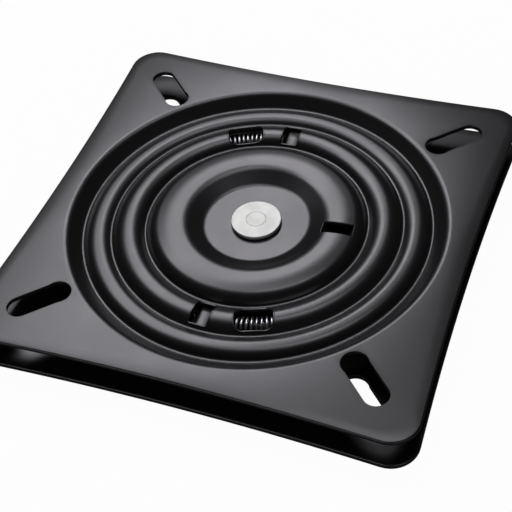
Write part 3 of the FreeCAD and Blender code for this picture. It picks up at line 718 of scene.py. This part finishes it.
def ear(side):
    """An ear bent up from the lower dome, beside the turn stop at the end of its travel."""
    foot = [(EAR[0], EAR_NEAR), (EAR[1], EAR_NEAR), (EAR[1], EAR_FAR), (EAR[0], EAR_FAR)]
    corners = [(x, side * y, z) for z in (EAR_FOOT, EAR_TOP) for x, y in foot]
    faces = [(0, 1, 2, 3), (4, 7, 6, 5), (0, 4, 5, 1), (1, 5, 6, 2), (2, 6, 7, 3), (3, 7, 4, 0)]
    thing = mesh_object("ear", [Vector(c) * MM for c in corners], (), faces)
    thing.data.transform(Matrix.Rotation(math.radians(TURN_STOP + 90 * side), 4, "Z"))
    return softened(thing, 0.3)


print("an ear reaches from", EAR_FOOT, "to", round(EAR_TOP, 2), "mm")

# %% [markdown]
# The two sheets come from the same tree. The upper one is turned over about X and lifted by the overall
# height. Flat faces and bends are shaded smooth, and an edge sharper than 32 degrees stays crisp.


# %% Make both sheets
def join(name, *things):
    """One object from several."""
    work = bmesh.new()
    for thing in things:
        work.from_mesh(thing.data)
    mesh = bpy.data.meshes.new(name)
    work.to_mesh(mesh)
    work.free()
    drop(*things)
    return mesh_to_object(name, mesh)


def smooth(piece, degrees):
    """Smooth shading on all but the edges sharper than some degrees."""
    piece.data.shade_smooth()
    piece.data.set_sharp_from_angle(angle=math.radians(degrees))
    return piece


def pressed_sheet(name, thickness, cutters, extras):
    """One sheet with its openings, and with its strips, ears and lips as extras."""
    loop = sheet_loop(thickness)
    section = mesh_object(name + "_section", [Vector((x, 0, z)) * MM for x, z in loop],
                          [(k, (k + 1) % len(loop)) for k in range(len(loop))])
    punch = punch_object(name + "_punch", cutters)
    sheet = run_tree(name, sheet_tree, paint, Section=section, Points=len(loop), Steps=ROUND_STEPS,
                     Side_Centre=side_centre * MM, Side_Arc=side_arc * MM, Corner_Centre=corner_centre * MM,
                     Corner_Radius=CORNER * MM, Meeting_Angle=meeting_angle, Cutters=punch)
    drop(section, punch)
    work = bmesh.new()
    work.from_mesh(sheet.data)
    bmesh.ops.recalc_face_normals(work, faces=work.faces)
    work.to_mesh(sheet.data)
    work.free()
    piece = join(name, sheet, *extras)
    piece.data.materials.clear()
    piece.data.materials.append(paint)
    return piece


strips = [band(spring_stop_face(), SEAT_SHEET, turn) for turn in (STOP, -STOP)]
strips.append(band(turn_stop_face(), SEAT_SHEET, -TURN_STOP))
strips.append(lip(divided(turn_stop_outline), -TURN_STOP))
upper = pressed_sheet("upper_sheet", SEAT_SHEET, punches + [turn_stop_punch], strips + all_lips())
upper.data.transform(Matrix.Translation((0, 0, HEIGHT * MM)) @ Matrix.Rotation(math.pi, 4, "X"))
strips = [band(spring_stop_face(), BASE_SHEET, turn) for turn in (STOP, -STOP)]
strips += [ear(side) for side in (1, -1)]
ear_punches = [ear_punch(side) for side in (1, -1)]
lower = pressed_sheet("lower_sheet", BASE_SHEET, punches + ear_punches, strips + all_lips())
for piece, node, body in ((upper, "seat_plate", "seat"), (lower, "base_plate", "base")):
    smooth(piece, 32)
    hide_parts(node)
    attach(piece, body)
    print(piece.name, len(piece.data.polygons), "faces")

# %% [markdown]
# A return spring is one wire wound round a path that is itself an arc. A single line of points carries both
# turns: the arc angle grows steadily, and the coil angle grows many times as fast. A round section is then
# swept along it.

# %% Tree of an arc spring
coil_tree, given, result = new_tree("Arc spring", [
    ("Arc Radius", "NodeSocketFloat", 0.052), ("Height", "NodeSocketFloat", 0.008),
    ("Coil Radius", "NodeSocketFloat", 0.004), ("Wire Radius", "NodeSocketFloat", 0.0005),
    ("Turns", "NodeSocketFloat", 66.0), ("Steps", "NodeSocketInt", 1500),
    ("Start", "NodeSocketFloat", 0.0), ("Sweep", "NodeSocketFloat", 3.0),
    ("Material", "NodeSocketMaterial", None)])
line = add(coil_tree, "GeometryNodeMeshLine", Count=given["Steps"])
share = maths(coil_tree, "DIVIDE", coil_tree.nodes.new("GeometryNodeInputIndex").outputs[0],
              maths(coil_tree, "SUBTRACT", given["Steps"], 1.0))
coil_angle = maths(coil_tree, "MULTIPLY", maths(coil_tree, "MULTIPLY", share, given["Turns"]), math.tau)
arc_angle = maths(coil_tree, "MULTIPLY_ADD", share, given["Sweep"], given["Start"])
cosine, sine = maths(coil_tree, "COSINE", coil_angle), maths(coil_tree, "SINE", coil_angle)
out = maths(coil_tree, "MULTIPLY_ADD", cosine, given["Coil Radius"], given["Arc Radius"])
height = maths(coil_tree, "MULTIPLY_ADD", sine, given["Coil Radius"], given["Height"])
bent = add(coil_tree, "GeometryNodeSetPosition", Geometry=line.outputs[0],
           Position=place_round(coil_tree, out, arc_angle, height))
path = add(coil_tree, "GeometryNodeMeshToCurve", Mesh=bent.outputs[0])
wire_section = add(coil_tree, "GeometryNodeCurvePrimitiveCircle", Resolution=10, Radius=given["Wire Radius"])
swept = add(coil_tree, "GeometryNodeCurveToMesh", Curve=path.outputs[0],
            Profile_Curve=wire_section.outputs[0], Fill_Caps=True)
close_tree(coil_tree, swept.outputs[0], given["Material"], result)
print("tree of the spring has", len(coil_tree.nodes), "nodes")

# %% Wind the two springs
TURNS_IN_HALF_CIRCLE = 82
POINTS_IN_TURN = 24
END_GAP = 0.3
end_angle = (STRIP_HALF + END_GAP + WIRE / 2) / TUNNEL
left_sweep = 360 - 2 * STOP
for name, node, start, sweep in (("left_coil", "return_spring_left", STOP, left_sweep),
                                 ("right_coil", "return_spring_right", -STOP, 360 - left_sweep)):
    turns = round(TURNS_IN_HALF_CIRCLE * sweep / 180)
    coil = run_tree(name, coil_tree, spring_steel, Arc_Radius=TUNNEL * MM, Height=MIDDLE * MM,
                    Coil_Radius=(SPRING - WIRE) / 2 * MM, Wire_Radius=WIRE / 2 * MM, Turns=float(turns),
                    Steps=POINTS_IN_TURN * turns + 1, Start=math.radians(start) + end_angle,
                    Sweep=math.radians(sweep) - 2 * end_angle)
    smooth(coil, 60)
    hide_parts(node)
    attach(coil, "seat")
    print(name, len(coil.data.polygons), "faces")

# %% [markdown]
# The balls are one ring of equal spheres, so one sphere is placed on the points of a circle.

# %% Tree of the ring of balls
ring_tree, given, result = new_tree("Ring of balls", [
    ("Count", "NodeSocketInt", 24), ("Ring Radius", "NodeSocketFloat", 0.0648),
    ("Height", "NodeSocketFloat", 0.0085), ("Ball Radius", "NodeSocketFloat", 0.00357),
    ("Material", "NodeSocketMaterial", None)])
ring = add(ring_tree, "GeometryNodeMeshCircle", Vertices=given["Count"], Radius=given["Ring Radius"])
lift = add(ring_tree, "ShaderNodeCombineXYZ", Z=given["Height"])
lifted = add(ring_tree, "GeometryNodeSetPosition", Geometry=ring.outputs[0], Offset=lift.outputs[0])
sphere = add(ring_tree, "GeometryNodeMeshIcoSphere", Radius=given["Ball Radius"], Subdivisions=4)
spots = add(ring_tree, "GeometryNodeInstanceOnPoints", Points=lifted.outputs[0], Instance=sphere.outputs[0])
close_tree(ring_tree, spots.outputs[0], given["Material"], result)

ball_row = run_tree("ball_row", ring_tree, ball_steel, Count=BALL_COUNT, Ring_Radius=RACE * MM,
                    Height=MIDDLE * MM, Ball_Radius=BALL / 2 * MM)
smooth(ball_row, 60)
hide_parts(*[f"ball_{k:02d}" for k in range(1, BALL_COUNT + 1)])
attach(ball_row, "race")
print("ball row", len(ball_row.data.polygons), "faces")

# %% [markdown]
# Pin and washer are turned parts, so each is a half section spun about the axis. The pin's end is riveted
# flush with the washer, which leaves a flat end inside a fine groove.


# %% Turned parts
def turned(name, half_section, material, steps=128):
    """Spin a half section of (radius, height) in millimetres about the axis."""
    work = bmesh.new()
    line = [work.verts.new((r * MM, 0, z * MM)) for r, z in half_section]
    edges = [work.edges.new(pair) for pair in zip(line, line[1:])]
    bmesh.ops.spin(work, geom=line + edges, axis=(0, 0, 1), cent=(0, 0, 0), angle=math.tau, steps=steps,
                   use_duplicate=False)
    bmesh.ops.remove_doubles(work, verts=work.verts, dist=1e-6)
    bmesh.ops.recalc_face_normals(work, faces=work.faces)
    mesh = bpy.data.meshes.new(name)
    work.to_mesh(mesh)
    work.free()
    mesh.materials.append(material)
    return smooth(mesh_to_object(name, mesh), 40)


def round_over(r, z, radius, steps=4):
    """Points of a rounded outer top corner."""
    return [(r - radius + radius * math.cos(a), z - radius + radius * math.sin(a))
            for a in [math.pi / 2 * k / steps for k in range(steps + 1)]]


STACK_PLAY, SLIP_WASHER = 0.05, 0.5
WASHER, WASHER_THICK, WASHER_ROUND, FACE_INSET = 10.2, 1.3, 0.3, 0.4
GROOVE_HALF, GROOVE_DEPTH = 0.10, 0.12
HEAD, HEAD_THICK, HEAD_BEVEL = 8.5, 2.4, 0.6
pin_radius = PIN / 2
washer_foot = HEIGHT - FLOOR[1] + STACK_PLAY + SLIP_WASHER
washer_top = washer_foot + WASHER_THICK
groove_foot = washer_top - GROOVE_DEPTH
washer = turned("riveted_washer", [
    (pin_radius, washer_foot), (WASHER, washer_foot), *round_over(WASHER, washer_top, WASHER_ROUND),
    (WASHER - FACE_INSET, washer_top), (pin_radius + 2 * GROOVE_HALF, washer_top),
    (pin_radius + GROOVE_HALF, washer_top), (pin_radius, groove_foot)], zinc)
head_foot = FLOOR[1] - HEAD_THICK
pin = turned("riveted_pin", [
    (0, head_foot), (HEAD - HEAD_BEVEL, head_foot), (HEAD, head_foot + HEAD_BEVEL), (HEAD, FLOOR[1]),
    (pin_radius, FLOOR[1]), (pin_radius, groove_foot), (pin_radius - GROOVE_HALF, washer_top),
    (pin_radius - 2 * GROOVE_HALF, washer_top), (0, washer_top)], zinc)
for piece, node in ((washer, "pivot_washer"), (pin, "pivot_pin")):
    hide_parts(node)
    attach(piece, "base")
for node in ("ball_cage", "slip_washer", "spacer_bush"):
    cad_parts[node].data.materials.clear()
    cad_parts[node].data.materials.append(nylon)
print("the washer lies between", round(washer_foot, 2), "and", round(washer_top, 2), "mm")

# %% [markdown]
# The object lies on a plain white floor. To the camera the floor shows almost plain white, as in the
# photograph, and a share of real white keeps the contact shadow. In the paint it is mirrored nearly black,
# since a white floor in every reflection would turn the black sides of the sheets grey.

# %% Floor and backdrop
FLOOR_SHOWN, FLOOR_MIRRORED, MIRRORED_GLOW = 0.975, 0.95, 0.03
WORLD_GLOW = 0.03
FLOOR_REACH = 2
floor_material = bpy.data.materials.new("White floor")
floor_material.use_nodes = True
tree = floor_material.node_tree
tree.nodes.clear()
output = tree.nodes.new("ShaderNodeOutputMaterial")
matt = add(tree, "ShaderNodeBsdfDiffuse", Color=(0.9, 0.9, 0.9, 1.0))
rays = tree.nodes.new("ShaderNodeLightPath").outputs
glow = add(tree, "ShaderNodeEmission", Strength=spread(tree, rays["Is Glossy Ray"], 0, 1, 1.0, MIRRORED_GLOW))
seen = maths(tree, "MAXIMUM", rays["Is Camera Ray"], rays["Is Transmission Ray"])
seen = maths(tree, "MULTIPLY", seen, FLOOR_SHOWN)
seen = maths(tree, "MULTIPLY_ADD", rays["Is Glossy Ray"], FLOOR_MIRRORED, seen)
mix = tree.nodes.new("ShaderNodeMixShader")
for socket, value in zip(mix.inputs, (seen, matt.outputs[0], glow.outputs[0])):
    feed(tree, socket, value)
feed(tree, output.inputs["Surface"], mix.outputs[0])
sides = ((-1, -1), (1, -1), (1, 1), (-1, 1))
floor = mesh_object("floor", [(x * FLOOR_REACH, y * FLOOR_REACH, 0) for x, y in sides], (), [(0, 1, 2, 3)])
floor.data.materials.append(floor_material)

world = bpy.data.worlds.new("Studio")
bpy.context.scene.world = world
world.use_nodes = True
tree = world.node_tree
background = tree.nodes["Background"]
background.inputs["Color"].default_value = (1.0, 1.0, 1.0, 1.0)
rays = tree.nodes.new("ShaderNodeLightPath").outputs
feed(tree, background.inputs["Strength"], spread(tree, rays["Is Camera Ray"], 0, 1, WORLD_GLOW, 1.0))
print("stage:", floor_material.name, "and", world.name)


# %% [markdown]
# Two soft boxes hang behind the object, where a flat black sheet mirrors them towards the camera. That is
# what makes black paint read as grey, with bright lines along its beads. A low strip in front draws the line
# along the edge of the lower sheet, and a card at the side is what the sheets mirror when they are seen from
# behind.


# %% Lamps
LAMP_COLOUR = (0.95, 0.93, 1.0)
LAMP_DISTANCE = 1.1
mirrored = Vector((-0.271, 0.614, 0.742))
lamp_side = Vector((0.915, 0.404, 0.0))
lamp_tall = lamp_side.cross(mirrored)


def area_lamp(name, place, size, brightness, aim=(0, 0, 0.01)):
    """A rectangular lamp. Brightness is that of its surface, so a larger lamp gives more power."""
    data = bpy.data.lights.new(name, "AREA")
    data.shape = "RECTANGLE"
    data.size, data.size_y = size
    data.energy = brightness * math.pi * size[0] * size[1]
    data.color = LAMP_COLOUR
    lamp = bpy.data.objects.new(name, data)
    bpy.context.scene.collection.objects.link(lamp)
    lamp.location = place
    lamp.rotation_euler = (Vector(aim) - Vector(place)).to_track_quat("-Z", "Y").to_euler()
    return lamp


def soft_lamp(name, side, tall, size, turn, brightness):
    """A soft box in the mirrored direction, moved aside and up, and turned in its own plane."""
    place = mirrored * LAMP_DISTANCE + lamp_side * side + lamp_tall * tall
    lamp = area_lamp(name, place, size, brightness, aim=(0, 0, 0.015))
    facing = lamp.rotation_euler.to_matrix() @ Matrix.Rotation(math.radians(turn), 3, "Z")
    lamp.rotation_euler = facing.to_euler()


soft_lamp("main_soft_box", side=-0.14, tall=0.050, size=(0.74, 0.21), turn=30, brightness=10.8)
soft_lamp("upper_soft_box", side=0.10, tall=0.50, size=(0.43, 0.26), turn=0, brightness=6.0)
area_lamp("front_strip", (-0.20, -0.97, 0.13), size=(0.70, 0.18), brightness=4.6)
area_lamp("side_card", (0.75, -0.75, 0.30), size=(0.90, 0.50), brightness=1.0)
print("lamps:", {lamp.name: round(lamp.energy, 2) for lamp in bpy.data.lights})

# %% [markdown]
# The camera stands where the photographer stood. Its turn, height, distance, roll and lens were found by
# matching the sides, slots and pressed rings of the sheet with the photograph.

# %% Camera
AZIMUTH, ELEVATION, ROLL = 24.755, 47.153, -6.344
DISTANCE, ASIDE, ABOVE = 0.4780, 0.0007, -0.0162
FOCAL_PIXELS, CENTRE_X, CENTRE_Y, PIXELS = 1188.2, 257.5, 255.8, 512
a, e, roll = (math.radians(v) for v in (AZIMUTH, ELEVATION, ROLL))
back = Vector((math.sin(a) * math.cos(e), -math.cos(a) * math.cos(e), math.sin(e)))
right = Vector((math.cos(a), math.sin(a), 0))
up = back.cross(right)
right, up = right * math.cos(roll) + up * math.sin(roll), up * math.cos(roll) - right * math.sin(roll)
lens = bpy.data.cameras.new("camera")
lens.sensor_width = 36
lens.lens = FOCAL_PIXELS / PIXELS * lens.sensor_width
lens.shift_x = (PIXELS / 2 - CENTRE_X) / PIXELS
lens.shift_y = (CENTRE_Y - PIXELS / 2) / PIXELS
camera = bpy.data.objects.new("camera", lens)
bpy.context.scene.collection.objects.link(camera)
eye = Vector((0, 0, HEIGHT * MM)) + back * DISTANCE + right * ASIDE + up * ABOVE
camera.matrix_world = Matrix.Translation(eye) @ Matrix((right, up, back)).transposed().to_4x4()
bpy.context.scene.camera = camera
bpy.context.scene.view_settings.view_transform = "Standard"
print("lens", round(lens.lens, 1), "mm")
